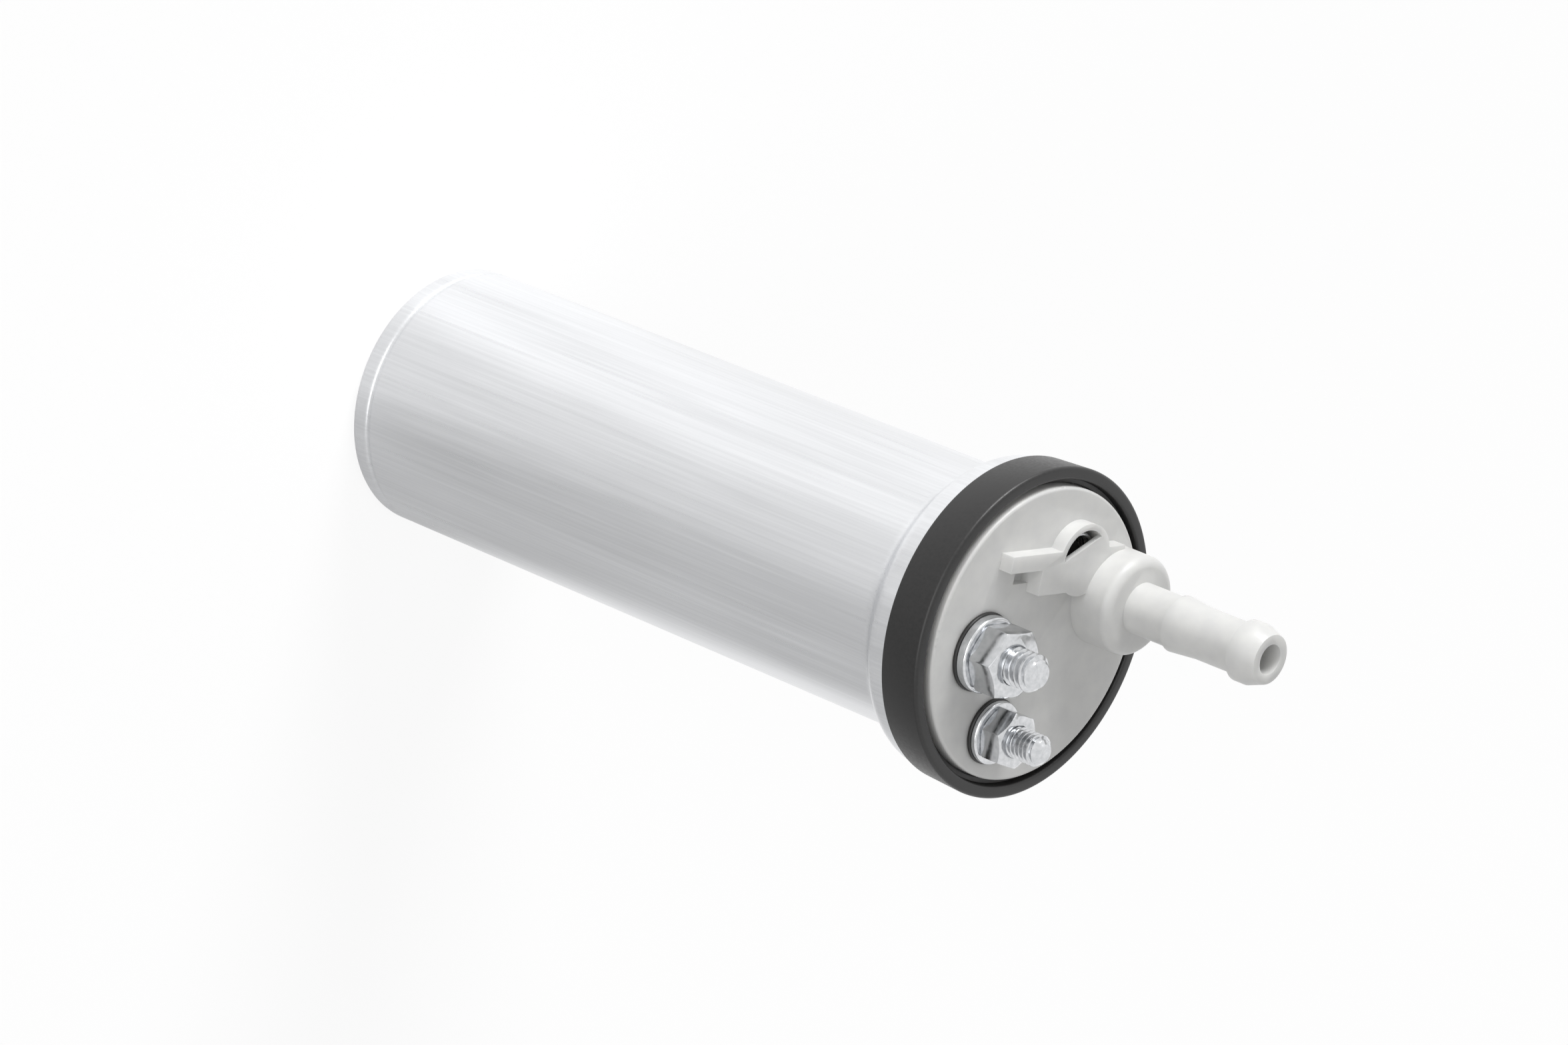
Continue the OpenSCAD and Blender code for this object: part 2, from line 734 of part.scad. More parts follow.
module commutator_bars() {
  color("#b87333") for (k = [0:slot_n - 1]) rotate(k * 360 / slot_n)
    translate([0, 0, comm_face - bar_t]) linear_extrude(bar_t) difference() {
      intersection() {
        circle(comm_r);
        polygon([[0, 0], [2 * comm_r * cos(180 / slot_n), -2 * comm_r * sin(180 / slot_n)],
          [2 * comm_r * cos(180 / slot_n), 2 * comm_r * sin(180 / slot_n)]]);
      }
      circle(comm_in_r);
      for (side = [-1, 1]) rotate(side * 180 / slot_n)
        translate([0, -bar_gap / 2]) square([2 * comm_r, bar_gap]);
    }
}

module commutator_hub() {
  color("#3d2b22") difference() {
    union() {
      translate([0, 0, comm_face - bar_t - comm_hub_t]) cylinder(r = comm_r, h = comm_hub_t);
      translate([0, 0, comm_face - bar_t]) cylinder(r = comm_in_r - bond_gap, h = bar_t - 1);
    }
    translate([0, 0, comm_face - bar_t - comm_hub_t - 1])
      cylinder(r = shaft_r + bond_gap, h = bar_t + comm_hub_t + 2);
  }
}

// Magnets and flux ring

// Section of a magnet shell: a ring sector
module shell_sector(inner_r, outer_r, angle) {
  rotate([0, 0, -angle / 2]) rotate_extrude(angle = angle) translate([inner_r, 0])
    square([outer_r - inner_r, core_top - core_z + 2 * magnet_over]);
}

module magnet_left() {
  color("#4a4a4e") translate([0, 0, core_z - magnet_over]) rotate(180)
    shell_sector(magnet_in, magnet_out, magnet_angle);
}

module magnet_right() {
  color("#4a4a4e") translate([0, 0, core_z - magnet_over]) shell_sector(magnet_in, magnet_out, magnet_angle);
}

// Two bowed strips that push the magnets against the flux ring
module magnet_clips() {
  clip_angle = 180 - magnet_angle - 3;
  color("#8d9094") for (a = [90, 270]) rotate(a) translate([0, 0, core_z - magnet_over])
    shell_sector(magnet_out - clip_t, magnet_out, clip_angle);
}

module flux_ring() {
  color("#6f7276") difference() {
    translate([0, 0, flux_z]) cylinder(r = insert_r, h = flux_top - flux_z);
    translate([0, 0, flux_z - 1]) cylinder(r = flux_in, h = flux_top - flux_z + 2);
  }
}

// Pump stage

// A side channel with a round bottom, centred on its open face at z = 0
module side_channel() {
  rotate_extrude(angle = channel_angle) translate([channel_r, 0]) circle(channel_depth * 0.7, $fn = 48);
}

module pump_base() {
  color("#b9bbbd") difference() {
    union() {
      translate([0, 0, base_z]) cylinder(r = insert_r, h = base_top - base_z);
      translate([0, 0, base_top - 1]) cylinder(r = bearing_d / 2 + 2, h = base_boss_h + 1);
    }
    translate([0, 0, base_z - 1]) cylinder(r = impeller_r + free_gap, h = pocket_roof - base_z + 1);
    translate([0, 0, pocket_roof]) side_channel();
    translate([0, 0, base_top + base_boss_h - bearing_h])
      cylinder(r = bearing_d / 2 + bond_gap, h = bearing_h + 1);
    translate([0, 0, base_z]) cylinder(r = shaft_r + shaft_room, h = base_top);
    // Duct from the end of the channel to the motor
    rotate(channel_angle - 4) translate([channel_r, 0, pocket_roof - 1])
      cylinder(r = base_duct_r, h = base_t + 2);
  }
}

module impeller() {
  color("#4b3a2e") difference() {
    union() {
      translate([0, 0, impeller_z]) linear_extrude(impeller_t) difference() {
        circle(impeller_r);
        for (k = [0:vane_n - 1])
          rotate(k * 360 / vane_n) translate([impeller_r - vane_len, 0]) rotate(vane_lean) {
          circle(vane_gap / 2, $fn = 24);
          translate([0, -vane_gap / 2]) square([2 * vane_len, vane_gap]);
        }
      }
      translate([0, 0, impeller_z + (impeller_t - web_t) / 2])
        cylinder(r = impeller_r - vane_len * 0.35, h = web_t);
    }
    // Bore with a flat
    translate([0, 0, impeller_z - 1]) difference() {
      cylinder(r = shaft_r + bond_gap, h = impeller_t + 2);
      translate([shaft_r - drive_flat + bond_gap, -shaft_d, -1]) cube([shaft_d, 2 * shaft_d, impeller_t + 4]);
    }
    // Holes that balance the pressure on both sides
    for (a = [60, 180, 300]) rotate(a) translate([balance_place_r, 0, impeller_z - 1])
      cylinder(r = balance_hole_r, h = impeller_t + 2);
  }
}

// The inlet cover is a casting: a floor under the impeller, a rim, the port's boss and ribs
module inlet_cover() {
  floor_z = cover_top - cover_floor;
  root_z = floor_z + 1;
  rib_recess = 1;
  boss_r = port_d / 2 + port_wall;
  duct_x = port_off + port_d / 2 - cover_duct_r - slide_gap;
  groove_r = swage_depth + seat_gap;
  color("#aeb0b2") difference() {
    union() {
      translate([0, 0, floor_z]) cylinder(r = insert_r, h = cover_floor);
      translate([0, 0, cover_z]) difference() {
        cylinder(r = insert_r, h = cover_h);
        translate([0, 0, -1]) cylinder(r = insert_r - cover_rim_t, h = cover_h + 2);
      }
      translate([port_off, 0, cover_z]) cylinder(r = boss_r, h = root_z - cover_z);
      translate([0, 0, cover_z + rib_recess / 2])
        cylinder(r = cover_centre_r, h = root_z - cover_z - rib_recess / 2);
      for (k = [1:rib_n]) rotate(k * 360 / (rib_n + 1)) 
        translate([shaft_r, -cover_rib_t / 2, cover_z + rib_recess])
          cube([insert_r - shaft_r - cover_rim_t / 2, cover_rib_t, root_z - cover_z - rib_recess]);
    }
    // Port, and the duct from it to the channel
    translate([port_off, 0, cover_z - 1]) cylinder(d = port_d, h = cover_h - cover_floor + 1);
    translate([duct_x, 0, floor_z - 1]) cylinder(r = cover_duct_r, h = cover_floor + 2);
    translate([0, 0, cover_top]) side_channel();
    // Seat of the thrust button and room for the shaft
    translate([0, 0, floor_z]) cylinder(r = shaft_r + shaft_room, h = cover_floor + 1);
    // Groove that the rolled line of the can grips
    translate([0, 0, swage_z]) rotate_extrude() translate([insert_r + seat_gap, 0]) circle(groove_r);
  }
}

module thrust_button() {
  color("#8a8d91") translate([0, 0, cover_top - cover_floor])
    cylinder(r = shaft_r + shaft_room - slide_gap, h = button_h);
}

housing_tube();
rubber_ring();
end_cap();
cap_seal();
positive_stud();
negative_stud();
positive_nut();
negative_nut();
positive_washer();
negative_washer();
positive_seal();
negative_seal();
relief_plunger();
relief_spring();
relief_seat();
check_plunger();
check_spring();
check_seat();
brush_holder();
brush_positive();
brush_negative();
brush_spring_positive();
brush_spring_negative();
upper_bearing();
lower_bearing();
rotor_shaft();
armature_core();
armature_insulators();
armature_windings();
commutator_bars();
commutator_hub();
impeller();
magnet_left();
magnet_right();
magnet_clips();
flux_ring();
pump_base();
inlet_cover();
thrust_button();
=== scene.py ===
"""In-tank fuel pump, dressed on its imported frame. Metres, with Z up the pump from the inlet rim."""

import math

import bmesh
import bpy
from mathutils import Matrix, Vector


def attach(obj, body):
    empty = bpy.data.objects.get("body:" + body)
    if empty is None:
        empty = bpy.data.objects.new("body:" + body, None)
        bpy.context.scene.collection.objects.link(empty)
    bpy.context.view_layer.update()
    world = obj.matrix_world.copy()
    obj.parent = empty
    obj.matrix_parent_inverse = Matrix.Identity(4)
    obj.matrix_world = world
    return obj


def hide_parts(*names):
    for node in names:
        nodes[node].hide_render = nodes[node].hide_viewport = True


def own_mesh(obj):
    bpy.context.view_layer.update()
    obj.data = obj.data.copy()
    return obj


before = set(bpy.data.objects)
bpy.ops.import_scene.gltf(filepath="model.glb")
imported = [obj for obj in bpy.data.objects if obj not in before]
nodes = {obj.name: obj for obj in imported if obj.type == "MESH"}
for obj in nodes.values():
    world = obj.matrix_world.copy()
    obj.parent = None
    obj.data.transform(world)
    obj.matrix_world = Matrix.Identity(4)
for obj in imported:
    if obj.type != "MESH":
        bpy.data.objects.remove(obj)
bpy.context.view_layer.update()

# Camera of the photograph: above the outlet end, rolled so that the pump lies across the picture.
# Its place and the focal length in pixels come from the ring's and the can's outlines.
PICTURE_WIDTH = 2352
FOCAL_PIXELS = 9000
back = Vector((-0.776, 0.0, 0.630)).normalized()
right = Vector((0.583, 0.378, 0.719))
right = (right - right.dot(back) * back).normalized()
up = back.cross(right)
lens = bpy.data.cameras.new("photo_camera")
lens.sensor_fit = "HORIZONTAL"
lens.sensor_width = 36.0
lens.lens = lens.sensor_width * FOCAL_PIXELS / PICTURE_WIDTH
camera = bpy.data.objects.new("photo_camera", lens)
turn = Matrix((right, up, back)).transposed().to_4x4()
camera.matrix_world = Matrix.Translation((-0.7258, 0.0013, 0.6652)) @ turn
bpy.context.scene.collection.objects.link(camera)
bpy.context.scene.camera = camera

# Inlet cover: an aluminium pressure casting with a rim, ribs and the port's boss, its face machined.
# The rolled line of the can grips its groove.
MM = 0.001


def srgb(code):
    """The linear colour of an sRGB hex value."""
    parts = [int(code[i:i + 2], 16) / 255 for i in (1, 3, 5)]
    return [c / 12.92 if c <= 0.04045 else ((c + 0.055) / 1.055) ** 2.4 for c in parts] + [1.0]


def add(tree, kind, sockets=None, **settings):
    """Adds a node. A socket given as (node, output) is linked, and any other value is set."""
    node = tree.nodes.new(kind)
    for name, value in settings.items():
        setattr(node, name, value)
    for name, value in (sockets or {}).items():
        if isinstance(value, tuple):
            tree.links.new(value[0].outputs[value[1]], node.inputs[name])
        else:
            node.inputs[name].default_value = value
    return node


def grained(name, dark, light, grain_mm, rough, relief_mm, detail=3.0, **shader_values):
    """A finish whose tone, gloss and relief follow one grain, of the size grain_mm along X, Y and Z."""
    finish = bpy.data.materials.new(name)
    finish.use_nodes = True
    tree = finish.node_tree
    shader = tree.nodes["Principled BSDF"]
    for socket, value in shader_values.items():
        shader.inputs[socket.replace("_", " ").title().replace("Ior", "IOR")].default_value = value
    place = add(tree, "ShaderNodeTexCoord")
    size = add(tree, "ShaderNodeMapping", {"Vector": (place, "Object"),
                                           "Scale": [1 / (length * MM) for length in grain_mm]})
    grain = add(tree, "ShaderNodeTexNoise", {"Vector": (size, 0), "Scale": 1.0, "Detail": detail})
    tone = add(tree, "ShaderNodeValToRGB", {"Fac": (grain, 0)})
    for stop, (position, colour) in zip(tone.color_ramp.elements, ((0.3, dark), (0.7, light))):
        stop.position = position
        stop.color = srgb(colour)
    gloss = add(tree, "ShaderNodeMapRange", {0: (grain, 0), 1: 0.3, 2: 0.7, 3: rough[0], 4: rough[1]})
    relief = add(tree, "ShaderNodeBump", {"Height": (grain, 0), "Distance": relief_mm * MM, "Strength": 1.0})
    for socket, source in (("Base Color", tone), ("Roughness", gloss), ("Normal", relief)):
        tree.links.new(source.outputs[0], shader.inputs[socket])
    return finish


def dress(finish, *names):
    """Gives CAD nodes a finish, in place of their plain one."""
    for name in names:
        mesh = nodes[name].data
        for place in range(len(mesh.materials)):
            mesh.materials[place] = finish
        if not mesh.materials:
            mesh.materials.append(finish)


def place_piece(name, bm, finish, body, slot, *stands_for, sharp=32):
    """Makes a mesh a piece of the pump: shaded, dressed, riding on its body, in place of its CAD nodes."""
    bmesh.ops.recalc_face_normals(bm, faces=bm.faces)
    mesh = bpy.data.meshes.new(name)
    bm.to_mesh(mesh)
    bm.free()
    mesh.shade_smooth()
    mesh.set_sharp_from_angle(angle=math.radians(sharp))
    mesh.materials.append(finish)
    piece = bpy.data.objects.new(name, mesh)
    bpy.context.scene.collection.objects.link(piece)
    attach(piece, body)
    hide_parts(*stands_for)
    return piece


def broken_edges(node, edge_mm):
    """A merged copy of a CAD node's mesh, with its sharp edges broken by a small rounding."""
    bm = bmesh.new()
    bm.from_mesh(nodes[node].data)
    bmesh.ops.remove_doubles(bm, verts=bm.verts, dist=1e-6)
    bmesh.ops.dissolve_limit(bm, angle_limit=math.radians(0.3), verts=bm.verts, edges=bm.edges)
    sharp, sliver = math.radians(30), 2e-6
    edges = [e for e in bm.edges if len(e.link_faces) == 2 and e.calc_face_angle() > sharp]
    bmesh.ops.bevel(bm, geom=edges, offset=edge_mm * MM, offset_type="OFFSET", affect="EDGES", segments=2,
                    profile=0.5, material=-1, clamp_overlap=True)
    # Where roundings meet, the bevel can leave slivers
    bmesh.ops.dissolve_degenerate(bm, dist=sliver, edges=bm.edges)
    return bm


# Cast skin with the faint mottling of a pressure die, a little dull
cast_aluminium = grained("die_cast_aluminium", "#9c9fa2", "#c3c5c7", (0.9, 0.9, 0.9), (0.42, 0.6), 0.03,
                         metallic=1.0)
place_piece("cover_casting", broken_edges("inlet_cover", 0.15), cast_aluminium, "pump_body", "cast_aluminium",
            "inlet_cover")

# Pump base: the upper half of the pump's housing, with the lower bearing's boss and the outlet duct.
# Aluminium, pressure cast like the cover, its flat and its channel machined.
place_piece("base_casting", broken_edges("pump_base", 0.15), cast_aluminium, "pump_body", "cast_aluminium",
            "pump_base")

# Thrust button and shaft: the hardened disc takes the end of the shaft that carries the rotor.
# Both are bearing steel, hardened and ground, with very fine grinding lines round them.
ground_steel = grained("ground_hardened_steel", "#8f9296", "#b9bbbe", (0.4, 0.4, 0.02), (0.18, 0.3), 0.002,
                       metallic=1.0)
dress(ground_steel, "thrust_button", "rotor_shaft")

# Impeller: the vaned wheel that drives the fuel, loose on the flat of the shaft.
# Filled phenolic, moulded, brown-black and matt, its two faces lapped. The commutator's hub is the same.
phenolic = grained("moulded_phenolic", "#2c211b", "#46362b", (0.25, 0.25, 0.25), (0.4, 0.55), 0.004)
place_piece("vaned_wheel", broken_edges("impeller", 0.08), phenolic, "rotor", "brown_plastic", "impeller")
dress(phenolic, "commutator_hub")

# Bearings: two plain bushes, one in the pump base and one in the brush plate.
# Bronze powder, pressed and sintered, with open pores that fuel soaks.
sintered_bronze = grained("sintered_bronze", "#5d4526", "#a98552", (0.12, 0.12, 0.12), (0.45, 0.7), 0.02,
                          metallic=1.0)
dress(sintered_bronze, "upper_bearing", "lower_bearing")

# Flux ring: closes the magnets' circuit, because the can is of aluminium.
# Mild steel strip, rolled to a tube and phosphated grey, a push fit in the can.
phosphated = grained("phosphated_steel", "#55585c", "#767a7e", (0.3, 0.3, 0.3), (0.5, 0.65), 0.005,
                     metallic=1.0)
dress(phosphated, "flux_ring")

# Magnets: two shells in the flux ring, held apart by the clips.
# Ferrite, pressed and fired, charcoal and matt, the inner face ground.
ferrite = grained("fired_ferrite", "#38383c", "#535358", (0.18, 0.18, 0.18), (0.55, 0.75), 0.01)
dress(ferrite, "magnet_left", "magnet_right")

# Magnet clips: bent strips that press the two magnets apart.
# Spring steel, hard drawn and bright, with lengthwise drawing marks. The coil springs are of it too.
spring_steel = grained("spring_steel", "#b0b3b6", "#cfd1d3", (0.05, 0.05, 0.4), (0.2, 0.32), 0.001,
                       metallic=1.0)
dress(spring_steel, "magnet_clips")

# Armature: laminations punched from electrical steel and pressed on the shaft.
# Fine lines run round the stack every half millimetre.
laminations = grained("stacked_laminations", "#4e5155", "#85888c", (6.0, 6.0, 0.5), (0.35, 0.55), 0.03,
                      detail=1.0, metallic=1.0)
dress(laminations, "armature_core")

# Slot insulation: an end disc on each side of the stack, under the coils.
# Vulcanised electrical fibre, stamped from sheet, brown and matt.
fibre = grained("electrical_fibre", "#8d4a1f", "#b5652f", (0.6, 0.15, 0.15), (0.6, 0.75), 0.01)
dress(fibre, "armature_insulators")

# Windings: coils wound through the slots, with their heads at both ends of the stack.
# Enamelled copper wire, laid in bands about half a millimetre wide under a glossy varnish.
enamelled_wire = grained("enamelled_copper_wire", "#7a3414", "#c9743a", (3.0, 0.45, 3.0), (0.2, 0.35), 0.15,
                         detail=1.0, metallic=1.0, coat_weight=0.5)
dress(enamelled_wire, "armature_windings")

# Commutator: a ring of bars moulded on the hub, with the face up to the brushes.
# Hard drawn copper, cut apart after moulding, the face worn bright.
copper = grained("worn_commutator_copper", "#8f5230", "#cf8a5c", (0.3, 0.3, 0.3), (0.25, 0.45), 0.004,
                 metallic=1.0)
dress(copper, "commutator_bars")

# Brush plate and valve plungers: the plate carries the brush pockets and the upper bearing.
# Glass-filled black plastic, moulded, slightly glossy with a fine grain.
filled_plastic = grained("glass_filled_plastic", "#262626", "#353535", (0.2, 0.2, 0.2), (0.4, 0.55), 0.004)
dress(filled_plastic, "brush_holder", "relief_plunger", "check_plunger")

# Brushes: two blocks in the plate's pockets, pressed on the commutator by their springs.
# Carbon, pressed and baked, dark grey with a dull sheen.
carbon = grained("pressed_carbon", "#262527", "#403f42", (0.15, 0.15, 0.15), (0.45, 0.65), 0.006)
dress(carbon, "brush_positive", "brush_negative")

# Valve seats: the rings that the two plungers close, pressed into the cap.
# Brass, turned from bar, with fine turning marks round them.
turned_brass = grained("turned_brass", "#a5813f", "#d1ac66", (0.4, 0.4, 0.06), (0.22, 0.35), 0.003,
                       metallic=1.0)
dress(turned_brass, "relief_seat", "check_seat")

# Can: aluminium tube, rolled in at the inlet, flared to a bell for the cap and rolled over it.
# Satin from drawing, with fine lines and broader cloudy streaks that run along the tube.
CAN_R, CAN_WALL, RIM_IN, BELL_R, LIP_IN = 21.5, 1.0, 18.5, 25.2, 23.35
CAN_IN, BELL_IN = CAN_R - CAN_WALL, BELL_R - CAN_WALL
SHOULDER_LOW, SHOULDER_HIGH, SHOULDER_SHIFT, BELL_TOP = 115.0, 118.2, 0.45, 126.6
SWAGE_Z, SWAGE_HALF, SWAGE_DEPTH = 4.0, 0.7, 0.3


def turned(corners, at=(0.0, 0.0), steps=192):
    """A shape turned on the vertical axis, then moved to at. Corners are (radius, height, rounding), in mm."""
    bm = bmesh.new()
    verts = [bm.verts.new((r * MM, 0, z * MM)) for r, z, _ in corners]
    for a, b in zip(verts, verts[1:] + verts[:1]):
        bm.edges.new((a, b))
    for vert, (_, _, rounding) in zip(verts, corners):
        if rounding:
            bmesh.ops.bevel(bm, geom=[vert], offset=rounding * MM, offset_type="OFFSET", affect="VERTICES",
                            segments=5, profile=0.5, material=-1, clamp_overlap=False)
    bmesh.ops.spin(bm, geom=bm.verts[:] + bm.edges[:], axis=(0, 0, 1), cent=(0, 0, 0), angle=math.tau,
                   steps=steps, use_merge=True)
    bmesh.ops.remove_doubles(bm, verts=bm.verts, dist=1e-7)
    bmesh.ops.translate(bm, verts=bm.verts, vec=(at[0] * MM, at[1] * MM, 0))
    return bm


rolled_aluminium = grained("rolled_aluminium_tube", "#e2e3e5", "#ecedef", (0.5, 0.5, 40.0), (0.27, 0.34),
                           0.0008, metallic=1.0)
tree = rolled_aluminium.node_tree
stretch = add(tree, "ShaderNodeMapping", {"Vector": (tree.nodes["Texture Coordinate"], "Object"),
                                          "Scale": [1 / (length * MM) for length in (7, 7, 55)]})
clouds = add(tree, "ShaderNodeTexNoise", {"Vector": (stretch, 0), "Scale": 1.0, "Detail": 2.0})
cloudy = add(tree, "ShaderNodeMapRange", {0: (clouds, 0), 1: 0.3, 2: 0.7, 3: 0.92, 4: 1.04})
satin = add(tree, "ShaderNodeVectorMath", {0: (tree.nodes["Color Ramp"], 0), "Scale": (cloudy, 0)},
            operation="SCALE")
tree.links.new(satin.outputs[0], tree.nodes["Principled BSDF"].inputs["Base Color"])
place_piece("can_tube", turned([
    (RIM_IN, 0, 0.25), (CAN_R, 0, 1.5), (CAN_R, SWAGE_Z - SWAGE_HALF, 0.3), (CAN_R - SWAGE_DEPTH, SWAGE_Z, 0.3),
    (CAN_R, SWAGE_Z + SWAGE_HALF, 0.3), (CAN_R, SHOULDER_LOW, 1.6), (BELL_R, SHOULDER_HIGH, 1.4),
    (BELL_R, BELL_TOP, 0.7), (LIP_IN, BELL_TOP, 0.1), (LIP_IN, BELL_TOP - CAN_WALL, 0.1),
    (BELL_IN, BELL_TOP - CAN_WALL, 0), (BELL_IN, SHOULDER_HIGH + SHOULDER_SHIFT, 0.6),
    (CAN_IN, SHOULDER_LOW + SHOULDER_SHIFT, 1.0), (CAN_IN, CAN_WALL, 0.3), (RIM_IN, CAN_WALL, 0.1)], steps=256),
    rolled_aluminium, "pump_body", "can_aluminium", "housing_tube")

# Rubber ring: a moulded collar pulled over the bell, a little slimmer at the back, with a lip round the cap.
# Black and matt, with a soft sheen on the lip.
RING_R, RING_BORE, FRONT_IN, BACK_TAPER = 26.25, 25.25, 24.2, 0.35
RING_BACK, RING_FRONT, ON_BELL, STEP_Z = 121.6, 129.0, 126.65, 127.35
rubber = grained("moulded_black_rubber", "#1a1a1a", "#242323", (0.5, 0.5, 0.5), (0.34, 0.46), 0.004)
place_piece("rubber_collar", turned([
    (RING_BORE, RING_BACK, 0.1), (RING_R - BACK_TAPER, RING_BACK, 0.4), (RING_R, RING_FRONT, 0.6),
    (FRONT_IN, RING_FRONT, 0.5), (FRONT_IN, STEP_Z, 0.2), (LIP_IN, STEP_Z, 0.1), (LIP_IN, ON_BELL, 0.1),
    (RING_BORE, ON_BELL, 0.1)]), rubber, "pump_body", "black_rubber", "rubber_ring")

# Seal between cap and can: an O-ring under the cap's flange.
# Moulded in the collar's rubber.
dress(rubber, "cap_seal")

# End cap: natural nylon, moulded in one with the hub, the barb and the relief valve's cage.
# Milky and slightly translucent, with a soft satin skin.
natural_nylon = grained("natural_nylon", "#cccccb", "#d3d3d1", (3.0, 3.0, 3.0), (0.36, 0.44), 0.004,
                        subsurface_weight=0.3, subsurface_radius=[1.0, 0.97, 0.92], subsurface_scale=0.002)
place_piece("moulded_cap", broken_edges("end_cap", 0.25), natural_nylon, "pump_body", "natural_nylon",
            "end_cap")

# Terminals: two studs through the cap, each with a dark rubber seal, a stamped washer and a hex nut.
# Steel, cold headed with rolled threads, zinc plated: pale and bright with a faint grain.
zinc = grained("zinc_plated_steel", "#c6c8ca", "#dcdddf", (0.9, 0.9, 0.9), (0.14, 0.24), 0.002,
               metallic=1.0)
CAP_FACE, SEAL_T, SEAL_OVER, WASHER_ROOM = 129.3, 0.6, 0.2, 0.2
HEAD_TOP, HEAD_H, SHANK_SHARE = 125.75, 2.6, 0.88
TERMINALS = {
    "positive": {"at": (-11.3, -5.4), "thread": 6.0, "pitch": 1.0, "washer": (6.0, 1.6), "nut": 5.0,
                 "across": 10.0, "tip": 141.3},
    "negative": {"at": (-1.6, -15.9), "thread": 5.0, "pitch": 0.8, "washer": (5.0, 1.0), "nut": 4.0,
                 "across": 8.0, "tip": 140.3},
}


def stud_with_thread(thread, pitch, across, thread_from, tip):
    """A terminal stud: hex head inside the cap, plain shank, and a rolled thread with a chamfered end."""
    major = thread / 2
    minor = major - 0.61 * pitch
    bm = bmesh.new()
    section = [(minor, 0), (minor, 0.125), (major, 0.4375), (major, 0.5625), (minor, 0.875), (minor, 1)]
    verts = [bm.verts.new((r * MM, 0, (thread_from + (z - 1) * pitch) * MM)) for r, z in section]
    for a, b in zip(verts, verts[1:]):
        bm.edges.new((a, b))
    turns, per_turn = math.ceil((tip - thread_from) / pitch) + 2, 48
    bmesh.ops.spin(bm, geom=bm.verts[:] + bm.edges[:], axis=(0, 0, 1), cent=(0, 0, 0), angle=math.tau * turns,
                   steps=turns * per_turn, dvec=(0, 0, pitch * MM / per_turn))
    bmesh.ops.remove_doubles(bm, verts=bm.verts, dist=1e-6)
    # The end's chamfer turns the crests down to below the thread's root
    chamfer_h, clear = 1.3, 0.25
    for vert in bm.verts:
        radius = math.hypot(vert.co.x, vert.co.y)
        limit = (major + clear - max(0, vert.co.z / MM - tip + chamfer_h)) * MM
        if radius > limit:
            vert.co.xy *= limit / radius
    for height, side in ((thread_from, -1), (tip, 1)):
        bmesh.ops.bisect_plane(bm, geom=bm.verts[:] + bm.edges[:] + bm.faces[:], plane_co=(0, 0, height * MM),
                               plane_no=(0, 0, side), clear_outer=True, dist=1e-7)
    bmesh.ops.holes_fill(bm, edges=[e for e in bm.edges if e.is_boundary], sides=0)
    shank_h = thread_from - HEAD_TOP + 1
    for sides, radius, low, height in ((per_turn, major * SHANK_SHARE, HEAD_TOP - 1, shank_h),
                                       (6, across / math.sqrt(3), HEAD_TOP - HEAD_H, HEAD_H)):
        bmesh.ops.create_cone(bm, cap_ends=True, segments=sides, radius1=radius * MM, radius2=radius * MM,
                              depth=height * MM, matrix=Matrix.Translation((0, 0, (low + height / 2) * MM)))
    return bm


for pole, t in TERMINALS.items():
    washer_r, washer_t = t["washer"]
    washer_low = CAP_FACE + SEAL_T
    thread_r = t["thread"] / 2
    place_piece(pole + "_fibre_seal", turned([
        (thread_r + 0.05, CAP_FACE, 0), (washer_r + SEAL_OVER, CAP_FACE, 0.15),
        (washer_r + SEAL_OVER, washer_low, 0.2),
        (thread_r + 0.05, washer_low, 0)], t["at"], 96), rubber, "pump_body", "black_rubber", pole + "_seal")
    place_piece(pole + "_plain_washer", turned([
        (thread_r + WASHER_ROOM, washer_low, 0.1), (washer_r, washer_low, 0.15),
        (washer_r, washer_low + washer_t, 0.4), (thread_r + WASHER_ROOM, washer_low + washer_t, 0.1)],
        t["at"], 96), zinc, "pump_body", "zinc_steel", pole + "_washer")
    place_piece(pole + "_hex_nut", broken_edges(pole + "_nut", 0.12), zinc, "pump_body", "zinc_steel",
                pole + "_nut")
    thread_from = washer_low + washer_t + t["nut"] - 1
    stud = stud_with_thread(t["thread"], t["pitch"], t["across"], thread_from, t["tip"])
    bmesh.ops.translate(stud, verts=stud.verts, vec=(t["at"][0] * MM, t["at"][1] * MM, 0))
    place_piece(pole + "_threaded_stud", stud, zinc, "pump_body", "zinc_steel", pole + "_stud")

# Coil springs of the two valves and the two brushes: round spring steel wire with closed ends.
SPRINGS = {
    "relief": ("relief_spring", "relief_valve_lift", (1.0, 13.1), 3.6, 0.35, 123.5, 130.8, 6, 2.0),
    "check": ("check_spring", "check_valve_lift", (12.3, 9.7), 3.2, 0.3, 129.2, 134.3, 5, 1.5),
    "positive_brush": ("brush_spring_positive", "positive_brush_slide", (-8.0, 0.0), 2.0, 0.25, 110.1, 119.1,
                       7, 3.0),
    "negative_brush": ("brush_spring_negative", "negative_brush_slide", (8.0, 0.0), 2.0, 0.25, 110.1, 119.1,
                       7, 3.0),
}


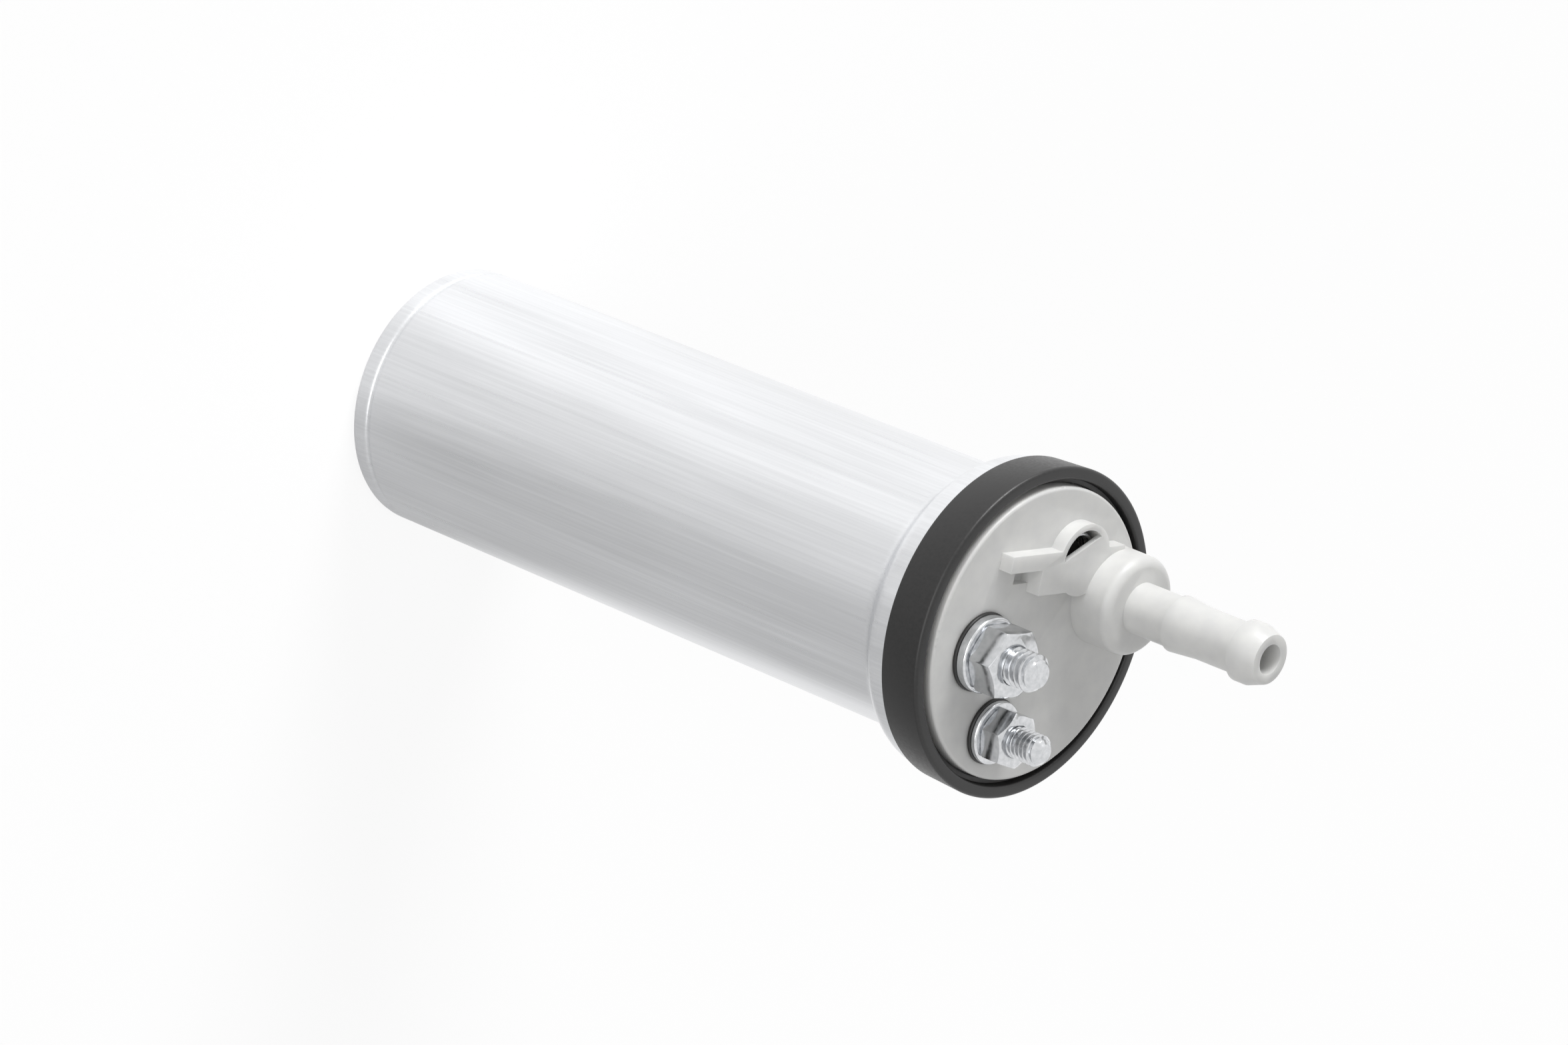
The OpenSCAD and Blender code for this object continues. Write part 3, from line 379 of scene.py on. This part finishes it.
def wound_spring(coil_r, wire_r, low, high, turns):
    """A coil of round wire from low to high, with one dead turn at each end."""
    bm = bmesh.new()
    start = Matrix.Translation((coil_r * MM, 0, (low + wire_r) * MM)) @ Matrix.Rotation(math.pi / 2, 4, "X")
    ring = bmesh.ops.create_circle(bm, segments=10, radius=wire_r * MM, matrix=start)["verts"]
    last = ring + list({e for v in ring for e in v.link_edges})
    per_turn, live_rise = 24, high - low - 6 * wire_r
    for count, rise in ((1, 2 * wire_r), (turns - 2, live_rise), (1, 2 * wire_r)):
        last = bmesh.ops.spin(bm, geom=last, axis=(0, 0, 1), cent=(0, 0, 0), angle=math.tau * count,
                              steps=per_turn * count, dvec=(0, 0, rise * MM / (per_turn * count)))["geom_last"]
    bmesh.ops.remove_doubles(bm, verts=bm.verts, dist=1e-7)
    bmesh.ops.holes_fill(bm, edges=[e for e in bm.edges if e.is_boundary], sides=0)
    return bm


for name, (node, joint, at, coil_r, wire_r, low, high, turns, travel) in SPRINGS.items():
    coil = wound_spring(coil_r, wire_r, low, high, turns)
    bmesh.ops.translate(coil, verts=coil.verts, vec=(at[0] * MM, at[1] * MM, 0))
    wire = place_piece(name + "_wound_spring", coil, spring_steel, "pump_body", "spring_steel", node, sharp=60)
    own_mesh(wire)

# Studio: a plain white paper floor under the inlet rim, a white surround and two broad soft lamps.
# The floor shows white to the camera and keeps the shadow of the pump.


def rays_to_the_eye(tree):
    """The light path node, and a factor of 1 for camera, glossy and transmission rays."""
    rays = add(tree, "ShaderNodeLightPath")
    seen = (rays, "Is Camera Ray")
    for kind in ("Is Glossy Ray", "Is Transmission Ray"):
        seen = (add(tree, "ShaderNodeMath", {0: seen, 1: (rays, kind)}, operation="MAXIMUM"), 0)
    return rays, seen


scene = bpy.context.scene
scene.view_settings.view_transform = "Standard"
floor_bm = bmesh.new()
bmesh.ops.create_grid(floor_bm, x_segments=1, y_segments=1, size=6.0)
floor_mesh = bpy.data.meshes.new("studio_floor")
floor_bm.to_mesh(floor_mesh)
floor_bm.free()
floor = bpy.data.objects.new("studio_floor", floor_mesh)
scene.collection.objects.link(floor)
paper = bpy.data.materials.new("white_paper")
paper.use_nodes = True
tree = paper.node_tree
tree.nodes["Principled BSDF"].inputs["Base Color"].default_value = srgb("#e6e6e6")
tree.nodes["Principled BSDF"].inputs["Roughness"].default_value = 0.9
rays, seen = rays_to_the_eye(tree)
share = add(tree, "ShaderNodeMath", {0: seen, 1: 0.7}, operation="MULTIPLY")
# Painted reflection: for glossy rays the paper's glow is painted by the angle round the pump, grey on one side
# as painted shade and brighter than white on the other as painted light
spot = add(tree, "ShaderNodeTexCoord")
painted_reflection_angle = add(tree, "ShaderNodeTexGradient", {"Vector": (spot, "Object")}, gradient_type="RADIAL")
painted_reflection_levels = add(tree, "ShaderNodeValToRGB", {"Fac": (painted_reflection_angle, 0)})
ramp = painted_reflection_levels.color_ramp
ramp.interpolation = "EASE"
for place, level in ((0.0, 0.85), (0.1, 0.55), (0.28, 0.55), (0.42, 1.1), (0.84, 1.2), (1.0, 0.85)):
    stop = ramp.elements[0] if place == 0.0 else ramp.elements[-1] if place == 1.0 else ramp.elements.new(place)
    stop.position = place
    stop.color = (level, level, level, 1.0)
# Camera rays see an even white glow; glossy rays see the painted light and painted shade levels
painted_reflection_tone = add(tree, "ShaderNodeMapRange", {0: (rays, "Is Glossy Ray"), 3: 1.0, 4: (painted_reflection_levels, 0)})
glow = add(tree, "ShaderNodeEmission", {"Color": (painted_reflection_tone, 0), "Strength": 1.15})
blend = add(tree, "ShaderNodeMixShader", {0: (share, 0), 1: (tree.nodes["Principled BSDF"], 0), 2: (glow, 0)})
tree.links.new(blend.outputs[0], tree.nodes["Material Output"].inputs["Surface"])
floor_mesh.materials.append(paper)

world = bpy.data.worlds.new("white_surround")
world.use_nodes = True
scene.world = world
tree = world.node_tree
_, seen = rays_to_the_eye(tree)
level = add(tree, "ShaderNodeMapRange", {0: seen, 3: 0.5, 4: 1.0})
tree.links.new(level.outputs[0], tree.nodes["Background"].inputs["Strength"])
tree.nodes["Background"].inputs["Color"].default_value = (1, 1, 1, 1)

for name, strength, angle, towards in (("key_lamp", 2.6, 30, (0.3, -0.9, -0.2)),
                                       ("fill_lamp", 1.3, 60, (0.93, 0.2, -0.12))):
    lamp = bpy.data.lights.new(name, "SUN")
    lamp.energy = strength
    lamp.angle = math.radians(angle)
    holder = bpy.data.objects.new(name, lamp)
    holder.rotation_euler = Vector(towards).to_track_quat("-Z", "Y").to_euler()
    scene.collection.objects.link(holder)
